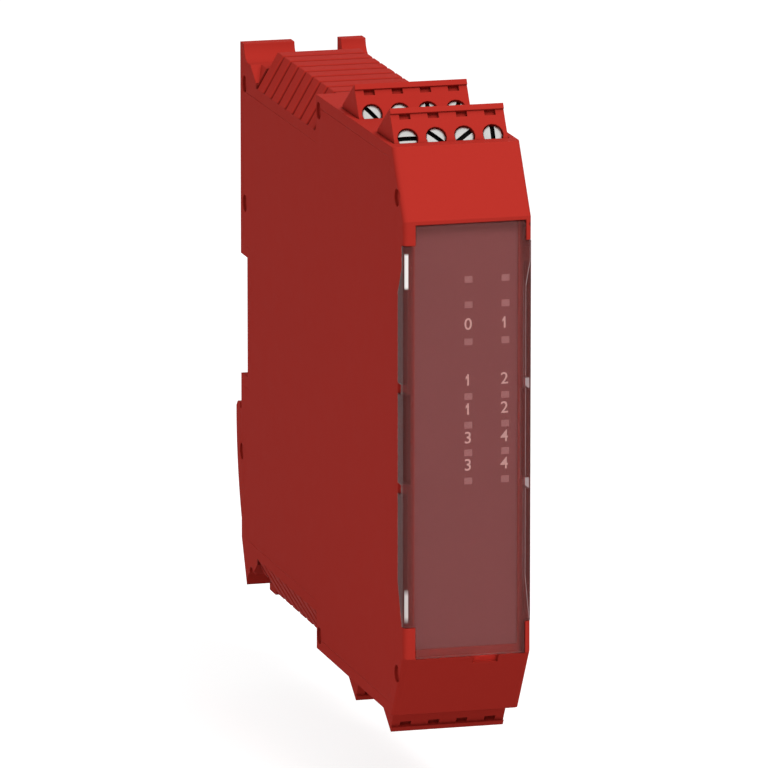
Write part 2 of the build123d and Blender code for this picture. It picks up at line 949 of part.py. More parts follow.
def relay(place):
    y = vent_start - relay_lead + place * relay_pitch
    relay_bottom = relay_edge - board_top
    case = onBoard(y, relay_bottom, relay_width, relay_length, relay_height)
    case = fillet(case.edges().group_by(Axis.X)[0], relay_round)
    mark = onBoard(y + (relay_width - relay_mark) / 2, relay_bottom + 2 * relay_mark,
                   relay_mark, relay_mark, relay_height + relay_mark_height)
    return case + mark


# Core with a window, a middle bar and a winding on each side of the bar
def transformer():
    inner = core_size - 2 * core_limb
    core = onBoard(core_start, core_bottom, core_size, core_size, core_height)
    window = onBoard(core_start + core_limb, core_bottom + core_limb, inner, inner,
                     core_height + over)
    bar = onBoard(core_start + (core_size - core_bridge) / 2, core_bottom, core_bridge, core_size,
                  core_height)
    return core - window + bar


def windings():
    width = (core_size - 2 * core_limb - core_bridge) / 2 - 2 * winding_gap
    height = core_size - 2 * (core_limb + winding_gap)
    near = core_start + core_limb + winding_gap
    far = core_start + (core_size + core_bridge) / 2 + winding_gap
    low = core_bottom + core_limb + winding_gap
    return Compound(children=[onBoard(y, low, width, height, winding_height) for y in (near, far)])


def capacitors():
    y = vent_start + capacitor_lead
    can = Cylinder(capacitor_diameter / 2, capacitor_height, rotation=(0, 90, 0))
    return [
        Pos(board_left - capacitor_height / 2, depth(y + k * capacitor_step),
            capacitor_first + k * capacitor_pitch) * can
        for k in range(capacitor_count)
    ]


def processor(y, z):
    long = processor_size + 2 * lead_reach
    short = processor_size - 2 * lead_reach
    body = onBoard(y, z, processor_size, processor_size, processor_thickness)
    leads = onBoard(y - lead_reach, z + lead_reach, long, short, lead_thickness)
    leads += onBoard(y + lead_reach, z - lead_reach, short, long, lead_thickness)
    return chamfer(body.edges().group_by(Axis.X)[0], processor_chamfer) + leads


def fuse():
    y = core_start - fuse_lead
    return onBoard(y, fuse_bottom, fuse_length, fuse_thickness, fuse_thickness)


def drivers():
    y, z = driver_place
    return [
        onBoard(y + k * driver_pitch, z, driver_width, driver_length, driver_thickness)
        for k in range(driver_count)
    ]


def crystal():
    can = onBoard(*crystal_place, crystal_width, crystal_length, crystal_height)
    return fillet(can.edges().filter_by(Axis.X), crystal_round)


def frontBoard():
    y = front_board_setback
    return block(-window_left + window_ledge, board_left - front_board_gap,
                 depth(y), depth(y + board_thickness), front_board_bottom, front_board_top)


def frontLeds():
    half = led_size / 2
    back = front_board_setback
    return [
        block(x - half, x + half, depth(back - led_height), depth(back), z - half, z + half)
        for x in (light_columns[0], light_columns[1] - led_shift) for z in light_rows
    ]


def boardLink():
    y = front_board_setback + board_thickness
    return block(board_left - link_width, board_left, depth(y), depth(y + link_depth),
                 link_bottom, link_top)


# Contacts that reach into the bus connector on the rail
def busOpening():
    side = bus_width / 2
    tall = bus_height / 2
    return block(-side, side, depth(recess_floor - rim_wall - over), depth(recess_floor + over),
                 -tall, tall)


def busBlock():
    side = bus_width / 2 - fit_gap
    tall = bus_height / 2 - fit_gap
    front = recess_floor - bus_depth
    body = block(-side, side, depth(front), depth(recess_floor), -tall, tall)
    body -= block(board_left, half_width, depth(front - over),
                  depth(recess_floor - rim_wall + fit_gap), -tall - over, tall + over)
    for z in busRows():
        body -= busBlade(z, recess_floor + over)
    return body


def busRows():
    return [(k - (blade_count - 1) / 2) * blade_pitch for k in range(blade_count)]


def busBlade(z, end):
    half = blade_width / 2
    thin = blade_thickness / 2
    return block(-half, half, depth(recess_floor - blade_root), depth(end), z - thin, z + thin)


def busContacts():
    return [busBlade(z, recess_floor + blade_reach) for z in busRows()]


# All pieces by name
pieces = {
    "housing_shell": housingShell(),
    "side_cover": sideCover(),
    "front_panel": frontPanel(),
    "light_guide_left": lightGuide(light_columns[0]),
    "light_guide_right": lightGuide(light_columns[1]),
    "status_cover": statusCover(),
    "rail_latch": railLatch(),
    "latch_spring": latchSpring(),
    "main_board": mainBoard(),
    "front_board": frontBoard(),
    "front_leds": Compound(children=frontLeds()),
    "board_link": boardLink(),
    "transformer_core": transformer(),
    "transformer_windings": windings(),
    "capacitors": Compound(children=capacitors()),
    "processor_a": processor(*processor_places[0]),
    "processor_b": processor(*processor_places[1]),
    "fuse": fuse(),
    "output_drivers": Compound(children=drivers()),
    "crystal": crystal(),
    "bus_contact_block": busBlock(),
    "bus_contacts": Compound(children=busContacts()),
}
for place in range(relay_count):
    pieces["relay_%d" % (place + 1)] = relay(place)


def terminalParts(row):
    return {
        "plug_body": plugBody(),
        "plug_screws": Compound(children=terminalScrews(row)),
        "plug_clamps": Compound(children=terminalClamps()),
        "plug_contacts": Compound(children=plugContacts()),
        "header_body": headerBody(),
        "header_pins": Compound(children=headerPins()),
    }


for row, row_name in enumerate(("front", "rear")):
    for name, shape in terminalParts(row).items():
        pieces["top_%s_%s" % (row_name, name)] = terminalFrame(row, 0) * shape
        lower = terminalFrame(row, bottom_sink) * shape
        pieces["bottom_%s_%s" % (row_name, name)] = flipped(lower)

for name, shape in pieces.items():
    export_step(shape, "parts/%s.step" % name)
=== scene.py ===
import json
import math

import bmesh
import bpy
from mathutils import Matrix, Vector


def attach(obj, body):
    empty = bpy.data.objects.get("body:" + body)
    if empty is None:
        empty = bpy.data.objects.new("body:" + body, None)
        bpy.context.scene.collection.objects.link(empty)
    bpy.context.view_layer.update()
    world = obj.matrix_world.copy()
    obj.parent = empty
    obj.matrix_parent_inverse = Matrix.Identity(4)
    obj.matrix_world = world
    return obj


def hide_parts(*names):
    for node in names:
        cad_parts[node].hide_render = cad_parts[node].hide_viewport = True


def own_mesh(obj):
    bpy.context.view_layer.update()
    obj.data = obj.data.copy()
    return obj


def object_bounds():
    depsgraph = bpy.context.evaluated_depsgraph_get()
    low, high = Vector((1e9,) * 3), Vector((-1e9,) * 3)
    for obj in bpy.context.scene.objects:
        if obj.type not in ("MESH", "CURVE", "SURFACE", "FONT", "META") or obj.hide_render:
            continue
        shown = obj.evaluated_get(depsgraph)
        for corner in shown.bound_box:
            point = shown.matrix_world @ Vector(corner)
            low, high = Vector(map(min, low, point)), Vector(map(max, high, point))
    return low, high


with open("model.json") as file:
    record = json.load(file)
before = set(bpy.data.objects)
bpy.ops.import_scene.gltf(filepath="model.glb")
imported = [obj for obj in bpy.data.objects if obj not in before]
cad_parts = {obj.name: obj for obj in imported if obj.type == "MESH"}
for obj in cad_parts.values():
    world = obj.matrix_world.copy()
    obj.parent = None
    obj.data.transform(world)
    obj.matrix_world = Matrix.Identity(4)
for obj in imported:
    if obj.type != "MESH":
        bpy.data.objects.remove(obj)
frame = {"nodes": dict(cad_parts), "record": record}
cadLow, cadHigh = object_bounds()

nodes = frame["nodes"]
record = frame["record"]
mm = 0.001


def srgb(red, green, blue):
    # written as in a paint program, 0 to 255, and turned into linear light
    def linear(value):
        part = value / 255
        return part / 12.92 if part < 0.04045 else ((part + 0.055) / 1.055) ** 2.4
    return (linear(red), linear(green), linear(blue), 1.0)


def mathNode(tree, operation, first, second=None, third=None):
    node = tree.nodes.new("ShaderNodeMath")
    node.operation = operation
    for socket, value in zip(node.inputs, (first, second, third)):
        if value is None:
            continue
        if isinstance(value, (int, float)):
            socket.default_value = value
        else:
            tree.links.new(value, socket)
    return node.outputs[0]


def rampNode(tree, value, start, end):
    # 0 at the start, 1 at the end and level past both
    ramp = tree.nodes.new("ShaderNodeMapRange")
    ramp.inputs["From Min"].default_value = start
    ramp.inputs["From Max"].default_value = end
    tree.links.new(value, ramp.inputs["Value"])
    return ramp.outputs["Result"]


def mixShaders(tree, share, first, second):
    mix = tree.nodes.new("ShaderNodeMixShader")
    if isinstance(share, float):
        mix.inputs[0].default_value = share
    else:
        tree.links.new(share, mix.inputs[0])
    tree.links.new(first, mix.inputs[1])
    tree.links.new(second, mix.inputs[2])
    return mix.outputs[0]


def splitPlace(tree):
    # X, Y and Z of the point that is shaded
    split = tree.nodes.new("ShaderNodeSeparateXYZ")
    tree.links.new(tree.nodes.new("ShaderNodeTexCoord").outputs["Object"], split.inputs[0])
    return split.outputs


def addBump(tree, shader, height, normal, strength, distance):
    bump = tree.nodes.new("ShaderNodeBump")
    bump.inputs["Strength"].default_value = strength
    bump.inputs["Distance"].default_value = distance
    tree.links.new(height, bump.inputs["Height"])
    tree.links.new(normal, bump.inputs["Normal"])
    tree.links.new(bump.outputs["Normal"], shader.inputs["Normal"])


# Camera, room and lamps
print("camera and studio")
cameraSettings = {
    "azimuth": -15.229,
    "elevation": 12.301,
    "distance": 1.787,
    "target": (0.000662, -0.05398, -0.002449),
    "lens": 478.75,
}
studioSettings = {
    "sky": 0.5,
    "keyPlace": (0.28, -0.92, 1.0),
    "keySize": 0.55,
    "keyPower": 12.0,
    "leftPlace": (-1.1, -0.5, 0.35),
    "leftSize": 0.7,
    "leftPower": 1.8,
    "floorSize": 12.0,
    "floorDrop": 0.0145,  # the lower terminals unplug downwards, so the floor lies below them
    "floorTone": (188, 188, 188),
    "floorGlow": 0.75,
}


def placeCamera(settings):
    azimuth = math.radians(settings["azimuth"])
    elevation = math.radians(settings["elevation"])
    back = Vector((
        math.sin(azimuth) * math.cos(elevation),
        -math.cos(azimuth) * math.cos(elevation),
        math.sin(elevation),
    ))
    lensData = bpy.data.cameras.new("viewCamera")
    lensData.lens = settings["lens"]
    lensData.sensor_width = 36
    camera = bpy.data.objects.new("viewCamera", lensData)
    bpy.context.scene.collection.objects.link(camera)
    camera.location = Vector(settings["target"]) + back * settings["distance"]
    camera.rotation_mode = "QUATERNION"
    camera.rotation_quaternion = (-back).to_track_quat("-Z", "Y")
    bpy.context.scene.camera = camera


def areaLamp(name, place, size, power, aim):
    lampData = bpy.data.lights.new(name, "AREA")
    lampData.size = size
    lampData.energy = power
    lamp = bpy.data.objects.new(name, lampData)
    bpy.context.scene.collection.objects.link(lamp)
    lamp.location = place
    lamp.rotation_mode = "QUATERNION"
    lamp.rotation_quaternion = (Vector(aim) - Vector(place)).to_track_quat("-Z", "Y")
    lamp.visible_glossy = False


def whiteToTheEye(tree):
    # 1 where the eye, a reflection or a see-through part looks at the backdrop
    rays = tree.nodes.new("ShaderNodeLightPath").outputs
    either = mathNode(tree, "MAXIMUM", rays["Is Camera Ray"], rays["Is Glossy Ray"])
    return mathNode(tree, "MAXIMUM", either, rays["Is Transmission Ray"])


def makeSky(settings):
    world = bpy.data.worlds.new("studioSky")
    bpy.context.scene.world = world
    world.use_nodes = True
    tree = world.node_tree
    tree.nodes.clear()
    layers = []
    for strength in (settings["sky"], 1.0):
        layer = tree.nodes.new("ShaderNodeBackground")
        layer.inputs["Color"].default_value = (1, 1, 1, 1)
        layer.inputs["Strength"].default_value = strength
        layers.append(layer.outputs[0])
    out = tree.nodes.new("ShaderNodeOutputWorld")
    tree.links.new(mixShaders(tree, whiteToTheEye(tree), *layers), out.inputs["Surface"])


def makeFloor(settings):
    half = settings["floorSize"] / 2
    height = cadLow.z - settings["floorDrop"]
    mesh = bpy.data.meshes.new("studioFloor")
    corners = [(-half, -half, height), (half, -half, height), (half, half, height), (-half, half, height)]
    mesh.from_pydata(corners, [], [(0, 1, 2, 3)])
    floor = bpy.data.objects.new("studioFloor", mesh)
    bpy.context.scene.collection.objects.link(floor)
    paint = bpy.data.materials.new("floorPaint")
    paint.use_nodes = True
    tree = paint.node_tree
    tree.nodes.clear()
    lit = tree.nodes.new("ShaderNodeBsdfDiffuse")
    lit.inputs["Color"].default_value = srgb(*settings["floorTone"])
    glow = tree.nodes.new("ShaderNodeEmission")
    glow.inputs["Strength"].default_value = settings["floorGlow"]
    both = tree.nodes.new("ShaderNodeAddShader")
    out = tree.nodes.new("ShaderNodeOutputMaterial")
    tree.links.new(lit.outputs[0], both.inputs[0])
    tree.links.new(glow.outputs[0], both.inputs[1])
    seen = mixShaders(tree, whiteToTheEye(tree), lit.outputs[0], both.outputs[0])
    tree.links.new(seen, out.inputs["Surface"])
    mesh.materials.append(paint)


bpy.context.scene.view_settings.view_transform = "Standard"
placeCamera(cameraSettings)
makeSky(studioSettings)
for side in ("key", "left"):
    areaLamp(side + "Lamp", studioSettings[side + "Place"], studioSettings[side + "Size"],
             studioSettings[side + "Power"], cameraSettings["target"])
makeFloor(studioSettings)


# Effects that several finishes share
print("shared effects")


def newGroup(name, inputs, outputs):
    group = bpy.data.node_groups.new(name, "ShaderNodeTree")
    for label, kind, value in inputs:
        socket = group.interface.new_socket(name=label, in_out="INPUT", socket_type=kind)
        socket.default_value = value
    for label, kind in outputs:
        group.interface.new_socket(name=label, in_out="OUTPUT", socket_type=kind)
    return group, group.nodes.new("NodeGroupInput"), group.nodes.new("NodeGroupOutput")


def noiseNode(tree, scale, detail, place):
    noise = tree.nodes.new("ShaderNodeTexNoise")
    noise.inputs["Detail"].default_value = detail
    tree.links.new(place, noise.inputs["Vector"])
    if isinstance(scale, (int, float)):
        noise.inputs["Scale"].default_value = scale
    else:
        tree.links.new(scale, noise.inputs["Scale"])
    return noise.outputs["Fac"]


skinDetail = {"grain": 3.0, "drift": 2.0, "flowScale": 5.0, "speckShare": 0.8}


def makeMouldedSkin(detail):
    # spark-eroded skin of a moulding: fine grain, slow tone drift and faint flow marks
    group, given, out = newGroup(
        "mouldedSkin",
        [("Grain Scale", "NodeSocketFloat", 2600.0), ("Drift Scale", "NodeSocketFloat", 55.0),
         ("Drift", "NodeSocketFloat", 0.05), ("Gloss Spread", "NodeSocketFloat", 0.08)],
        [("Tone", "NodeSocketFloat"), ("Gloss", "NodeSocketFloat"), ("Height", "NodeSocketFloat")],
    )
    where = group.nodes.new("ShaderNodeTexCoord").outputs["Object"]
    grain = noiseNode(group, given.outputs["Grain Scale"], detail["grain"], where)
    drift = noiseNode(group, given.outputs["Drift Scale"], detail["drift"], where)
    flowScale = mathNode(group, "MULTIPLY", given.outputs["Drift Scale"], detail["flowScale"])
    flow = noiseNode(group, flowScale, detail["drift"], where)
    centred = mathNode(group, "SUBTRACT", drift, 0.5)
    speck = mathNode(group, "SUBTRACT", grain, 0.5)
    tone = mathNode(group, "MULTIPLY_ADD", centred, given.outputs["Drift"], 1.0)
    speckle = mathNode(group, "MULTIPLY", given.outputs["Drift"], detail["speckShare"])
    tone = mathNode(group, "MULTIPLY_ADD", speck, speckle, tone)
    gloss = mathNode(group, "MULTIPLY", mathNode(group, "SUBTRACT", flow, 0.5), given.outputs["Gloss Spread"])
    group.links.new(tone, out.inputs["Tone"])
    group.links.new(gloss, out.inputs["Gloss"])
    group.links.new(grain, out.inputs["Height"])
    return group


edgeDetail = {"samples": 6, "flat": 0.995, "round": 0.86}


def makeEdgeSoftness(detail):
    # rounded normal for moulded edges, and a mask that is 1 on an edge, which the plastics and the window use
    # for a painted highlight
    group, given, out = newGroup(
        "edgeSoftness",
        [("Radius", "NodeSocketFloat", 0.0002)],
        [("Edge", "NodeSocketFloat"), ("Normal", "NodeSocketVector")],
    )
    bevel = group.nodes.new("ShaderNodeBevel")
    bevel.samples = detail["samples"]
    group.links.new(given.outputs["Radius"], bevel.inputs["Radius"])
    surface = group.nodes.new("ShaderNodeNewGeometry")
    dot = group.nodes.new("ShaderNodeVectorMath")
    dot.operation = "DOT_PRODUCT"
    group.links.new(bevel.outputs["Normal"], dot.inputs[0])
    group.links.new(surface.outputs["Normal"], dot.inputs[1])
    edge = rampNode(group, dot.outputs["Value"], detail["flat"], detail["round"])
    group.links.new(edge, out.inputs["Edge"])
    group.links.new(bevel.outputs["Normal"], out.inputs["Normal"])
    return group


def makeCreviceShade():
    # 1 in the open, falling in holes, slots and corners
    group, given, out = newGroup(
        "creviceShade",
        [("Reach", "NodeSocketFloat", 0.0009), ("Power", "NodeSocketFloat", 1.5)],
        [("Open", "NodeSocketFloat")],
    )
    shade = group.nodes.new("ShaderNodeAmbientOcclusion")
    shade.samples = 8
    group.links.new(given.outputs["Reach"], shade.inputs["Distance"])
    group.links.new(mathNode(group, "POWER", shade.outputs["AO"], given.outputs["Power"]), out.inputs["Open"])
    return group


metalDetail = {"stretch": (0.12, 1.0, 1.0), "lines": 2.0, "cloud": 4.0}


def makeTurnedMetal(detail):
    # fine drawn or rolled lines with a cloudy plating
    group, given, out = newGroup(
        "turnedMetal",
        [("Line Scale", "NodeSocketFloat", 3000.0), ("Cloud Scale", "NodeSocketFloat", 400.0)],
        [("Cloud", "NodeSocketFloat"), ("Height", "NodeSocketFloat")],
    )
    where = group.nodes.new("ShaderNodeTexCoord").outputs["Object"]
    stretch = group.nodes.new("ShaderNodeVectorMath")
    stretch.operation = "MULTIPLY"
    stretch.inputs[1].default_value = detail["stretch"]
    group.links.new(where, stretch.inputs[0])
    lines = noiseNode(group, given.outputs["Line Scale"], detail["lines"], stretch.outputs[0])
    cloud = noiseNode(group, given.outputs["Cloud Scale"], detail["cloud"], where)
    group.links.new(cloud, out.inputs["Cloud"])
    group.links.new(lines, out.inputs["Height"])
    return group


mouldedSkin = makeMouldedSkin(skinDetail)
edgeSoftness = makeEdgeSoftness(edgeDetail)
creviceShade = makeCreviceShade()
turnedMetal = makeTurnedMetal(metalDetail)


def placeGroup(tree, group, values):
    node = tree.nodes.new("ShaderNodeGroup")
    node.node_tree = group
    for label, value in values.items():
        node.inputs[label].default_value = value
    return node


def startMaterial(name):
    material = bpy.data.materials.new(name)
    material.use_nodes = True
    tree = material.node_tree
    tree.nodes.clear()
    shader = tree.nodes.new("ShaderNodeBsdfPrincipled")
    out = tree.nodes.new("ShaderNodeOutputMaterial")
    tree.links.new(shader.outputs[0], out.inputs["Surface"])
    return material, tree, shader, out


def tonedColour(tree, colour, tone):
    mix = tree.nodes.new("ShaderNodeVectorMath")
    mix.operation = "SCALE"
    mix.inputs[0].default_value = colour[:3]
    tree.links.new(tone, mix.inputs["Scale"])
    return mix.outputs[0]


def blendColour(tree, mask, first, second):
    mix = tree.nodes.new("ShaderNodeMix")
    mix.data_type = "RGBA"
    tree.links.new(mask, mix.inputs["Factor"])
    for value, socket in ((first, mix.inputs["A"]), (second, mix.inputs["B"])):
        if isinstance(value, tuple):
            socket.default_value = value
        else:
            tree.links.new(value, socket)
    return mix.outputs["Result"]


# Every plastic: the share of its painted edge highlight on an edge, and the strength of its grain
plasticEdgeHighlightShare = 0.35
plasticBump = 0.5

# One entry for each plastic: colour, lighter edge colour for the painted highlight, roughness, edge radius
# and skin
plastics = {
    "red_plastic": {
        "colour": (176, 47, 39), "edge": (200, 62, 50), "roughness": 0.6, "radius": 0.00022,
        "specular": 0.008, "grainScale": 2400.0, "drift": 0.03, "grainDepth": 0.00001, "crevice": 0.45,
    },
    "panel_film": {
        "colour": (115, 77, 83), "edge": (129, 87, 91), "roughness": 0.6, "radius": 0.0001,
        "specular": 0.02, "grainScale": 5200.0, "drift": 0.012, "grainDepth": 0.000004,
    },
    "header_black": {
        "colour": (34, 34, 35), "edge": (62, 62, 62), "roughness": 0.5, "radius": 0.00015,
        "specular": 0.45, "grainScale": 3200.0, "drift": 0.08, "grainDepth": 0.00002,
    },
    "relay_case": {
        "colour": (40, 42, 46), "edge": (74, 76, 80), "roughness": 0.32, "radius": 0.0002,
        "specular": 0.5, "grainScale": 3600.0, "drift": 0.06, "grainDepth": 0.00001,
    },
    "ferrite": {
        "colour": (58, 56, 55), "edge": (84, 82, 80), "roughness": 0.62, "radius": 0.00015,
        "specular": 0.4, "grainScale": 1500.0, "drift": 0.16, "grainDepth": 0.00004,
    },
    "winding_tape": {
        "colour": (206, 168, 62), "edge": (226, 196, 96), "roughness": 0.36, "radius": 0.00015,
        "specular": 0.5, "grainScale": 1800.0, "drift": 0.09, "grainDepth": 0.00002,
    },
    "capacitor_sleeve": {
        "colour": (30, 40, 66), "edge": (60, 72, 104), "roughness": 0.28, "radius": 0.0002,
        "specular": 0.5, "grainScale": 2800.0, "drift": 0.05, "grainDepth": 0.00001,
    },
    "chip_black": {
        "colour": (36, 36, 37), "edge": (58, 58, 58), "roughness": 0.58, "radius": 0.0001,
        "specular": 0.4, "grainScale": 4200.0, "drift": 0.12, "grainDepth": 0.00002,
    },
    "led_white": {
        "colour": (222, 220, 208), "edge": (240, 238, 230), "roughness": 0.25, "radius": 0.0001,
        "specular": 0.5, "grainScale": 5200.0, "drift": 0.03, "grainDepth": 0.00001,
    },
    "fuse_white": {
        "colour": (214, 208, 192), "edge": (232, 228, 214), "roughness": 0.3, "radius": 0.0001,
        "specular": 0.5, "grainScale": 2600.0, "drift": 0.05, "grainDepth": 0.00001,
    },
}


# Where the slots between the vent ribs lie, and how dark their painted shade is
ventSlots = {"start": -0.0515, "pitch": 0.005, "count": 8, "half": 0.00042, "soft": 0.0003,
             "height": 0.0429, "dark": 0.62}


def ribShade(tree, slots):
    # painted shade: below 1 in the narrow slots between the ribs
    place = splitPlace(tree)
    halfPitch = slots["pitch"] / 2
    halfRun = slots["count"] * halfPitch
    along = mathNode(tree, "SUBTRACT", place["Y"], slots["start"])
    nearest = mathNode(tree, "ABSOLUTE", mathNode(tree, "WRAP", along, halfPitch, -halfPitch))
    slot = rampNode(tree, nearest, slots["half"] + slots["soft"], slots["half"])
    inside = mathNode(tree, "COMPARE", along, halfRun, halfRun + slots["half"])
    outer = mathNode(tree, "GREATER_THAN", mathNode(tree, "ABSOLUTE", place["Z"]), slots["height"])
    mask = mathNode(tree, "MULTIPLY", slot, mathNode(tree, "MULTIPLY", inside, outer))
    return mathNode(tree, "MULTIPLY_ADD", mask, -slots["dark"], 1.0)


def makePlastic(name, look):
    material, tree, shader, out = startMaterial(name)
    skin = placeGroup(tree, mouldedSkin, {"Grain Scale": look["grainScale"], "Drift": look["drift"]})
    edge = placeGroup(tree, edgeSoftness, {"Radius": look["radius"]})
    tone = skin.outputs["Tone"]
    if "crevice" in look:
        # painted shade: the colour darkens in holes, slots and corners
        openness = placeGroup(tree, creviceShade, {}).outputs["Open"]
        fall = mathNode(tree, "MULTIPLY_ADD", openness, look["crevice"], 1 - look["crevice"])
        tone = mathNode(tree, "MULTIPLY", tone, fall)
        # painted shade in the slots between the vent ribs
        tone = mathNode(tree, "MULTIPLY", tone, ribShade(tree, ventSlots))
    body = tonedColour(tree, srgb(*look["colour"]), tone)
    # painted highlight: the rounded edges are blended towards the lighter edge colour
    mask = mathNode(tree, "MULTIPLY", edge.outputs["Edge"], plasticEdgeHighlightShare)
    tree.links.new(blendColour(tree, mask, body, srgb(*look["edge"])), shader.inputs["Base Color"])
    rough = mathNode(tree, "ADD", skin.outputs["Gloss"], look["roughness"])
    tree.links.new(rough, shader.inputs["Roughness"])
    shader.inputs["Specular IOR Level"].default_value = look["specular"]
    addBump(tree, shader, skin.outputs["Height"], edge.outputs["Normal"], plasticBump, look["grainDepth"])
    return material


# Every metal: how far the cloudy plating spreads its roughness, and the strength of its lines
platingSpread = 0.18
metalBump = 0.4

# One entry for each metal
metals = {
    "screw_steel": {"colour": (228, 228, 225), "dull": (202, 202, 199), "roughness": 0.4,
                    "radius": 0.00012, "lineScale": 2600.0, "lineDepth": 0.00002},
    "clamp_brass": {"colour": (206, 190, 152), "dull": (160, 144, 108), "roughness": 0.34,
                    "radius": 0.0001, "lineScale": 2200.0, "lineDepth": 0.00002},
    "contact_tin": {"colour": (208, 208, 204), "dull": (164, 164, 160), "roughness": 0.38,
                    "radius": 0.0001, "lineScale": 3200.0, "lineDepth": 0.00001},
    "spring_steel": {"colour": (150, 150, 152), "dull": (108, 108, 110), "roughness": 0.32,
                     "radius": 0.00005, "lineScale": 4200.0, "lineDepth": 0.00001},
    "crystal_can": {"colour": (204, 204, 202), "dull": (158, 158, 156), "roughness": 0.3,
                    "radius": 0.0002, "lineScale": 2600.0, "lineDepth": 0.00001},
}


def makeMetal(name, look):
    material, tree, shader, out = startMaterial(name)
    finish = placeGroup(tree, turnedMetal, {"Line Scale": look["lineScale"]})
    edge = placeGroup(tree, edgeSoftness, {"Radius": look["radius"]})
    colour = blendColour(tree, finish.outputs["Cloud"], srgb(*look["dull"]), srgb(*look["colour"]))
    tree.links.new(colour, shader.inputs["Base Color"])
    shader.inputs["Metallic"].default_value = 1.0
    smoothest = look["roughness"] - platingSpread / 2
    rough = mathNode(tree, "MULTIPLY_ADD", finish.outputs["Cloud"], platingSpread, smoothest)
    tree.links.new(rough, shader.inputs["Roughness"])
    addBump(tree, shader, finish.outputs["Height"], edge.outputs["Normal"], metalBump, look["lineDepth"])
    return material


smokedCover = {
    "tint": (241, 226, 223), "shade": (226, 212, 210), "roughness": 0.05, "ior": 1.06,
    "grainScale": 900.0, "drift": 0.01, "glossSpread": 0.02, "radius": 0.00025,
    "haze": (142, 85, 82), "hazeShare": 0.25, "hazeRoughness": 0.7,
    "thickTint": (176, 168, 170), "thickStart": 0.0094, "thickFade": 0.0003,
    # the glint entries paint a highlight on the left front corner
    "paintedGlint": (246, 240, 238), "glintRoughness": 0.3, "glintPlace": 0.01085, "glintWidth": 0.00035,
    "glintSoft": 0.00005, "front": -0.1103, "highGlint": (0.0267, 0.0322, 0.0004),
    "lowGlint": (-0.0305, -0.0268, 0.0012), "lowShare": 0.7,
}


def bandMask(tree, value, low, high, soft):
    # 1 between two values and fading to 0 past them
    rise = rampNode(tree, value, low - soft, low)
    return mathNode(tree, "MULTIPLY", rise, rampNode(tree, value, high + soft, high))


def thickStrips(tree, look):
    # 1 at the sides, where the flanges stand behind the front and the moulding is deep
    aside = mathNode(tree, "ABSOLUTE", splitPlace(tree)["X"])
    return rampNode(tree, aside, look["thickStart"], look["thickStart"] + look["thickFade"])


def paintedCornerGlint(tree, look):
    # painted highlight: pale glints on the rounded left front corner, near the ends of the side flanges
    place = splitPlace(tree)
    leftwards = mathNode(tree, "MULTIPLY", place["X"], -1.0)
    middle, width = look["glintPlace"], look["glintWidth"]
    across = bandMask(tree, leftwards, middle - width, middle + width, look["glintSoft"])
    high = bandMask(tree, place["Z"], *look["highGlint"])
    low = bandMask(tree, place["Z"], *look["lowGlint"])
    along = mathNode(tree, "MAXIMUM", high, mathNode(tree, "MULTIPLY", low, look["lowShare"]))
    front = mathNode(tree, "LESS_THAN", place["Y"], look["front"])
    return mathNode(tree, "MULTIPLY", mathNode(tree, "MULTIPLY", across, along), front)


def makeSmokedCover(look):
    # clear smoked moulding that lets the lamps through to the panel behind it
    material, tree, shader, out = startMaterial("smoked_plastic")
    skin = placeGroup(tree, mouldedSkin, {"Grain Scale": look["grainScale"], "Drift": look["drift"],
                                          "Gloss Spread": look["glossSpread"]})
    edge = placeGroup(tree, edgeSoftness, {"Radius": look["radius"]})
    tone = skin.outputs["Tone"]
    thick = thickStrips(tree, look)
    tint = tonedColour(tree, srgb(*look["tint"]), tone)
    tree.links.new(blendColour(tree, thick, tint, srgb(*look["thickTint"])), shader.inputs["Base Color"])
    rough = mathNode(tree, "ADD", skin.outputs["Gloss"], look["roughness"])
    tree.links.new(rough, shader.inputs["Roughness"])
    shader.inputs["Transmission Weight"].default_value = 1.0
    shader.inputs["IOR"].default_value = look["ior"]
    tree.links.new(edge.outputs["Normal"], shader.inputs["Normal"])
    haze = tree.nodes.new("ShaderNodeBsdfPrincipled")
    tree.links.new(tonedColour(tree, srgb(*look["haze"]), tone), haze.inputs["Base Color"])
    haze.inputs["Specular IOR Level"].default_value = 0.0
    haze.inputs["Roughness"].default_value = look["hazeRoughness"]
    paintedGlint = tree.nodes.new("ShaderNodeBsdfPrincipled")
    tree.links.new(tonedColour(tree, srgb(*look["paintedGlint"]), tone), paintedGlint.inputs["Base Color"])
    paintedGlint.inputs["Roughness"].default_value = look["glintRoughness"]
    through = tree.nodes.new("ShaderNodeBsdfTransparent")
    shade = blendColour(tree, thick, srgb(*look["shade"]), srgb(*look["thickTint"]))
    tree.links.new(shade, through.inputs["Color"])
    rays = tree.nodes.new("ShaderNodeLightPath")
    cloudy = mixShaders(tree, look["hazeShare"], shader.outputs[0], haze.outputs[0])
    # painted highlight: a pale near-white finish mixed in on the left front corner
    lit = mixShaders(tree, paintedCornerGlint(tree, look), cloudy, paintedGlint.outputs[0])
    seen = mixShaders(tree, rays.outputs["Is Shadow Ray"], lit, through.outputs[0])
    tree.links.new(seen, out.inputs["Surface"])
    return material


milkyWindow = {
    "colour": (167, 139, 144), "edgeHighlight": (186, 158, 160), "edgeShare": 0.5, "roughness": 0.4,
    "grainScale": 1400.0, "drift": 0.05, "radius": 0.0001,
    "scatter": 0.2, "scatterReach": (0.0006, 0.0004, 0.0004),
}


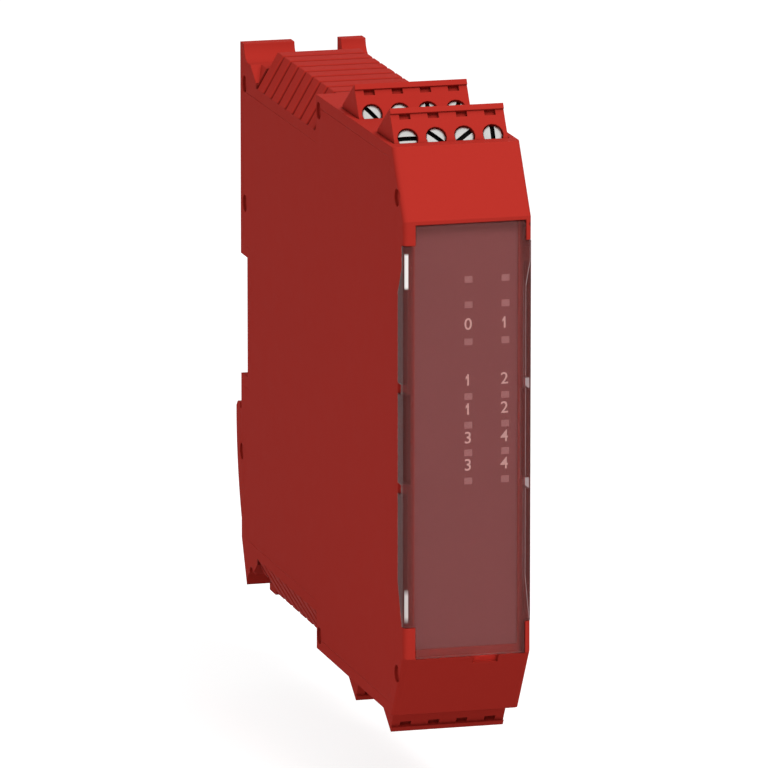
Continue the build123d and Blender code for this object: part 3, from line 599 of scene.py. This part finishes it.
def makeMilkyWindow(look):
    # diffusing window with a painted highlight: lighter on its rounded edges
    material, tree, shader, out = startMaterial("light_guide")
    skin = placeGroup(tree, mouldedSkin, {"Grain Scale": look["grainScale"], "Drift": look["drift"]})
    edge = placeGroup(tree, edgeSoftness, {"Radius": look["radius"]})
    body = tonedColour(tree, srgb(*look["colour"]), skin.outputs["Tone"])
    # painted highlight on the rounded edges
    mask = mathNode(tree, "MULTIPLY", edge.outputs["Edge"], look["edgeShare"])
    tree.links.new(blendColour(tree, mask, body, srgb(*look["edgeHighlight"])), shader.inputs["Base Color"])
    rough = mathNode(tree, "ADD", skin.outputs["Gloss"], look["roughness"])
    tree.links.new(rough, shader.inputs["Roughness"])
    shader.inputs["Subsurface Weight"].default_value = look["scatter"]
    shader.inputs["Subsurface Radius"].default_value = look["scatterReach"]
    tree.links.new(edge.outputs["Normal"], shader.inputs["Normal"])
    return material


solderMask = {
    "mask": (22, 92, 52), "track": (40, 122, 66), "pad": (196, 190, 160), "padShare": 0.4, "roughness": 0.3,
    "grainScale": 1800.0, "drift": 0.1, "radius": 0.0001,
    "trackScale": 180.0, "trackWidth": 0.06, "bump": 0.4, "trackDepth": 0.00003,
}


def makeSolderMask(look):
    # green lacquer with copper tracks that show as lighter, raised lines
    material, tree, shader, out = startMaterial("board_green")
    where = tree.nodes.new("ShaderNodeTexCoord").outputs["Object"]
    tracks = tree.nodes.new("ShaderNodeTexBrick")
    tracks.inputs["Scale"].default_value = look["trackScale"]
    tracks.inputs["Mortar Size"].default_value = look["trackWidth"]
    for label, value in (("Color1", 0), ("Color2", 0), ("Mortar", 1)):
        tracks.inputs[label].default_value = (value, value, value, 1)
    turn = tree.nodes.new("ShaderNodeMapping")
    turn.inputs["Rotation"].default_value = (0, math.radians(90), 0)
    tree.links.new(where, turn.inputs["Vector"])
    tree.links.new(turn.outputs[0], tracks.inputs["Vector"])
    skin = placeGroup(tree, mouldedSkin, {"Grain Scale": look["grainScale"], "Drift": look["drift"]})
    edge = placeGroup(tree, edgeSoftness, {"Radius": look["radius"]})
    body = tonedColour(tree, srgb(*look["mask"]), skin.outputs["Tone"])
    lines = blendColour(tree, tracks.outputs["Color"], body, srgb(*look["track"]))
    mask = mathNode(tree, "MULTIPLY", edge.outputs["Edge"], look["padShare"])
    tree.links.new(blendColour(tree, mask, lines, srgb(*look["pad"])), shader.inputs["Base Color"])
    shader.inputs["Roughness"].default_value = look["roughness"]
    addBump(tree, shader, tracks.outputs["Color"], edge.outputs["Normal"], look["bump"], look["trackDepth"])
    return material


# Finishes on the CAD pieces
print("finishes")
finishes = {name: makePlastic(name, look) for name, look in plastics.items()}
finishes.update({name: makeMetal(name, look) for name, look in metals.items()})
finishes["smoked_plastic"] = makeSmokedCover(smokedCover)
finishes["light_guide"] = makeMilkyWindow(milkyWindow)
finishes["board_green"] = makeSolderMask(solderMask)

for part in record["subparts"]:
    piece = nodes[part["node"]]
    finish = finishes[part["material_slot"]]
    if not piece.data.materials:
        piece.data.materials.append(finish)
    for entry in piece.material_slots:
        entry.material = finish


# Terminal screws
print("terminal screws")
terminalLayout = {
    "slant": math.atan2(7.3, 11.5), "halfFlat": 38.0, "halfHeight": 49.5, "seatDepth": 110.5,
    "setBack": 2.8, "rise": 5.3, "rowPitch": 23.0, "screwDrop": 5.45, "poles": (-7.5, -2.5, 2.5, 7.5),
    "turns": ((0, -42, 35, 88), (-52, 12, 90, 65)), "bottomSink": 1.4,
}
screwShape = {
    "headRadius": 1.74, "headHeight": 1.6, "crown": 0.16, "rim": 0.16, "slotWidth": 0.78,
    "slotDepth": 0.72, "shankRadius": 1.19, "shankLength": 2.6, "threadPitch": 0.5,
    "threadDepth": 0.16, "point": 0.3, "sides": 48, "sharpAngle": 28, "standOut": 0.35,
    "dome": (0.5, 0.75), "lip": 0.02, "rimRound": (0.35, 0.3), "cutterReach": 3, "near": 0.01,
}


def lathe(profile, sides):
    # profile of (radius, height) turned about Z, closed where the radius is 0
    work = bmesh.new()
    rings = []
    for radius, height in profile:
        if radius < 1e-6:
            rings.append([work.verts.new((0, 0, height))])
            continue
        ring = []
        for k in range(sides):
            angle = 2 * math.pi * k / sides
            ring.append(work.verts.new((radius * math.cos(angle), radius * math.sin(angle), height)))
        rings.append(ring)
    for low, high in zip(rings, rings[1:]):
        for k in range(sides):
            after = (k + 1) % sides
            if len(low) == 1:
                work.faces.new((low[0], high[k], high[after]))
            elif len(high) == 1:
                work.faces.new((low[k], high[0], low[after]))
            else:
                work.faces.new((low[k], high[k], high[after], low[after]))
    bmesh.ops.recalc_face_normals(work, faces=work.faces)
    return work


def toObject(work, name, materials):
    mesh = bpy.data.meshes.new(name)
    work.to_mesh(mesh)
    work.free()
    for material in materials:
        mesh.materials.append(material)
    piece = bpy.data.objects.new(name, mesh)
    bpy.context.scene.collection.objects.link(piece)
    return piece


def boxMesh(low, high):
    work = bmesh.new()
    bmesh.ops.create_cube(work, size=1.0)
    size = Vector(high) - Vector(low)
    middle = (Vector(high) + Vector(low)) / 2
    place = Matrix.Translation(middle) @ Matrix.Diagonal((*size, 1))
    bmesh.ops.transform(work, matrix=place, verts=work.verts)
    return work


def screwMesh(shape):
    # head up, top of the head's rim at height 0, in millimetres
    radius = shape["headRadius"]
    rim = shape["rim"]
    dome, drop = shape["dome"]
    turn, fall = shape["rimRound"]
    profile = [(0, shape["crown"]), (radius * dome, shape["crown"] * drop), (radius - rim, shape["lip"]),
               (radius - rim * turn, -rim * fall), (radius, -rim), (radius, -shape["headHeight"])]
    thread = -shape["headHeight"]
    profile.append((shape["shankRadius"] - shape["threadDepth"], thread))
    while thread > -shape["headHeight"] - shape["shankLength"] + shape["threadPitch"]:
        profile.append((shape["shankRadius"], thread - shape["threadPitch"] / 2))
        thread -= shape["threadPitch"]
        profile.append((shape["shankRadius"] - shape["threadDepth"], thread))
    profile.append((0, thread - shape["point"]))
    head = toObject(lathe(profile, shape["sides"]), "screwBlank", [])
    half, deep, reach = shape["slotWidth"] / 2, shape["slotDepth"], shape["cutterReach"]
    cutter = toObject(boxMesh((-reach, -half, -deep), (reach, half, 1)), "slotCutter", [])
    cut = head.modifiers.new("slot", "BOOLEAN")
    cut.object = cutter
    cut.solver = "EXACT"
    bpy.context.view_layer.update()
    graph = bpy.context.evaluated_depsgraph_get()
    mesh = bpy.data.meshes.new_from_object(head.evaluated_get(graph))
    bpy.data.objects.remove(head)
    bpy.data.objects.remove(cutter)
    near = shape["near"]
    for face in mesh.polygons:
        middle = face.center
        onWall = abs(middle.y) < half + near and -deep - near < middle.z < shape["crown"] - near / 2
        face.material_index = 1 if onWall or abs(middle.z + deep) < near else 0
    return mesh


def terminalMatrix(layout, row, sink):
    slant = layout["slant"]
    rise = layout["halfHeight"] + layout["rise"]
    startDepth = math.cos(slant) * layout["setBack"]
    startHeight = layout["halfFlat"] - math.sin(slant) * layout["setBack"]
    run = (rise - startHeight) / math.cos(slant)
    depth = startDepth + math.sin(slant) * run + row * layout["rowPitch"] - layout["seatDepth"]
    up = Vector((0, math.sin(slant), math.cos(slant)))
    across = Vector((1, 0, 0))
    inward = up.cross(across)
    start = Vector((0, depth, rise)) - up * sink
    turn = Matrix((across, inward, up)).transposed().to_4x4()
    return Matrix.Diagonal((mm, mm, mm, 1)) @ Matrix.Translation(start) @ turn


def makeTerminalScrews(layout, shape):
    slotShade = slotShadeMaterial()
    blank = screwMesh(shape)
    faceOut = Matrix.Rotation(math.radians(90), 4, "X")
    for row, rowName in enumerate(("front", "rear")):
        for side, sign, sink in (("top", 1, 0), ("bottom", -1, layout["bottomSink"])):
            placed = terminalMatrix(layout, row, sink)
            work = bmesh.new()
            for x, angle in zip(layout["poles"], layout["turns"][row]):
                turn = Matrix.Rotation(math.radians(angle), 4, "Z")
                spot = Matrix.Translation((x, shape["standOut"], -layout["screwDrop"]))
                single = blank.copy()
                single.transform(placed @ spot @ faceOut @ turn)
                work.from_mesh(single)
                bpy.data.meshes.remove(single)
            if sign < 0:
                bmesh.ops.transform(work, matrix=Matrix.Diagonal((1, 1, -1, 1)), verts=work.verts)
                bmesh.ops.reverse_faces(work, faces=work.faces)
            place = "%s_%s" % (side, rowName)
            piece = toObject(work, place + "_slottedScrews", [finishes["screw_steel"], slotShade])
            for face in piece.data.polygons:
                face.use_smooth = True
            piece.data.set_sharp_from_angle(angle=math.radians(shape["sharpAngle"]))
            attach(piece, place + "_plug")
            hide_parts(place + "_plug_screws")


def slotShadeMaterial():
    # painted shade: the inside of the slot is made nearly black
    look = {"colour": (38, 37, 36), "dull": (18, 18, 18), "roughness": 0.55,
            "radius": 0.00005, "lineScale": 2600.0, "lineDepth": 0.00001}
    return makeMetal("slot_painted_shade", look)


makeTerminalScrews(terminalLayout, screwShape)


# Side cover, pressed into its opening so that the seam hardly shows
print("side cover")
sideCoverFit = {
    "spread": 0.00004, "weld": 1e-7, "sideways": 0.5, "sameWay": 0.999, "dimpleReach": 0.0018,
    "dimples": (  # centres as depth and height
        (-0.106, 0.0414), (-0.106, -0.0414), (-0.0545, 0.0469), (-0.0545, -0.0469),
        (-0.003, 0.0423), (-0.003, 0.0206), (-0.007, -0.0469), (0.0, -0.0255),
    ),
}


def outlineNormals(vertex, fit):
    # normals of the rim faces round a vertex, none for the dimples' walls
    place = Vector((vertex.co.y, vertex.co.z))
    if any((place - Vector(centre)).length < fit["dimpleReach"] for centre in fit["dimples"]):
        return []
    found = []
    for face in vertex.link_faces:
        normal = face.normal
        isNew = all(normal.dot(other) <= fit["sameWay"] for other in found)
        if isNew and abs(normal.x) <= fit["sideways"]:
            found.append(normal.copy())
    return found


def makeSideCover(fit):
    source = nodes["side_cover"]
    work = bmesh.new()
    work.from_mesh(source.data)
    work.transform(source.matrix_world)
    bmesh.ops.remove_doubles(work, verts=work.verts, dist=fit["weld"])
    work.normal_update()
    moves = []
    for vertex in work.verts:
        normals = outlineNormals(vertex, fit)
        if len(normals) == 1:
            moves.append((vertex, normals[0] * fit["spread"]))
        elif len(normals) >= 2:
            first, second = normals[0], normals[1]
            share = fit["spread"] / (1 + first.dot(second))
            moves.append((vertex, (first + second) * share))
    for vertex, move in moves:
        vertex.co += Vector((0, move.y, move.z))
    piece = toObject(work, "pressedSideCover", [finishes["red_plastic"]])
    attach(piece, "housing")
    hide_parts("side_cover")


makeSideCover(sideCoverFit)


# Coil spring of the rail latch
print("latch spring")
latchCoil = {
    "centre": (0.0, -2.3755), "low": -42.336, "high": -27.075, "anchor": -42.4, "radius": 1.35,
    "wire": 0.25, "turns": 5.5, "closedShare": 0.12, "slowRise": 2.2, "steps": 28, "sides": 10, "keep": 0.8,
}


def coilHeight(shape, share):
    # end turns lie close, the turns between them climb
    closed = shape["closedShare"]
    start = shape["low"] + shape["wire"]
    end = shape["high"] - shape["wire"]
    slow = shape["slowRise"] * shape["wire"]
    if share < closed:
        return start + slow * share / closed
    if share > 1 - closed:
        return end - slow * (1 - share) / closed
    return start + slow + (end - start - 2 * slow) * (share - closed) / (1 - 2 * closed)


def makeLatchSpring(shape):
    work = bmesh.new()
    count = int(shape["turns"] * shape["steps"])
    rings = []
    for k in range(count + 1):
        angle = 2 * math.pi * k / shape["steps"]
        outward = Vector((math.cos(angle), math.sin(angle), 0))
        middle = outward * shape["radius"] + Vector((*shape["centre"], coilHeight(shape, k / count)))
        ring = []
        for side in range(shape["sides"]):
            turn = 2 * math.pi * side / shape["sides"]
            offset = outward * math.cos(turn) + Vector((0, 0, 1)) * math.sin(turn)
            ring.append(work.verts.new((middle + offset * shape["wire"]) * mm))
        rings.append(ring)
    for low, high in zip(rings, rings[1:]):
        for side in range(shape["sides"]):
            after = (side + 1) % shape["sides"]
            work.faces.new((low[side], low[after], high[after], high[side]))
    work.faces.new(rings[0])
    work.faces.new(rings[-1])
    bmesh.ops.recalc_face_normals(work, faces=work.faces)
    piece = toObject(work, "latchCoil", [finishes["spring_steel"]])
    for face in piece.data.polygons:
        face.use_smooth = len(face.vertices) == 4
    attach(piece, "housing")
    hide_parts("latch_spring")
    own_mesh(piece)


makeLatchSpring(latchCoil)


# Numerals printed on the panel
print("numerals")
numeralLayout = {
    "face": -0.1087, "height": 2.0, "thickness": 0.02, "columns": (0.52, 6.95), "weight": 0.018,
    "rows": ((19.5, "0", "1"), (9.8, "1", "2"), (4.74, "1", "2"), (-0.23, "3", "4"), (-4.97, "3", "4")),
    "flag": ((-0.05, 1.0), (-0.05, 0.72), (-0.42, 0.5), (-0.42, 0.72)), "flagLift": 0.02,
    "figureShare": 0.7, "curveSteps": 4,
}
numeralInk = {
    "colour": (237, 233, 231), "roughness": 0.5, "grainScale": 4200.0, "drift": 0.1, "glossSpread": 0.06,
}


def makeInk(look):
    material, tree, shader, out = startMaterial("numeral_ink")
    skin = placeGroup(tree, mouldedSkin, {"Grain Scale": look["grainScale"], "Drift": look["drift"],
                                          "Gloss Spread": look["glossSpread"]})
    body = tonedColour(tree, srgb(*look["colour"]), skin.outputs["Tone"])
    tree.links.new(body, shader.inputs["Base Color"])
    rough = mathNode(tree, "ADD", skin.outputs["Gloss"], look["roughness"])
    tree.links.new(rough, shader.inputs["Roughness"])
    return material


def addFlag(work, layout, x, height):
    # the slanted stroke at the top of a figure one
    front = layout["face"] - layout["thickness"] / 2 * mm
    base = height - layout["height"] / 2 + layout["flagLift"]
    corners = [((x + along) * mm, front, (base + up * layout["height"]) * mm) for along, up in layout["flag"]]
    work.faces.new([work.verts.new(corner) for corner in corners])


def makeNumerals(layout):
    work = bmesh.new()
    for height, left, right in layout["rows"]:
        for x, digit in zip(layout["columns"], (left, right)):
            curve = bpy.data.curves.new("digit", "FONT")
            curve.body = digit
            curve.align_x = "CENTER"
            curve.align_y = "CENTER"
            curve.size = layout["height"] / layout["figureShare"] * mm
            curve.extrude = layout["thickness"] / 2 * mm
            curve.offset = layout["weight"] * mm
            curve.resolution_u = layout["curveSteps"]
            holder = bpy.data.objects.new("digit", curve)
            bpy.context.scene.collection.objects.link(holder)
            bpy.context.view_layer.update()
            graph = bpy.context.evaluated_depsgraph_get()
            mesh = bpy.data.meshes.new_from_object(holder.evaluated_get(graph))
            heights = [vertex.co.y for vertex in mesh.vertices]
            middle = (max(heights) + min(heights)) / 2
            upright = Matrix.Rotation(math.radians(90), 4, "X") @ Matrix.Translation((0, -middle, 0))
            mesh.transform(Matrix.Translation((x * mm, layout["face"], height * mm)) @ upright)
            work.from_mesh(mesh)
            bpy.data.meshes.remove(mesh)
            bpy.data.objects.remove(holder)
            if digit == "1":
                addFlag(work, layout, x, height)
    piece = toObject(work, "panelNumerals", [makeInk(numeralInk)])
    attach(piece, "housing")


makeNumerals(numeralLayout)

print("finish")
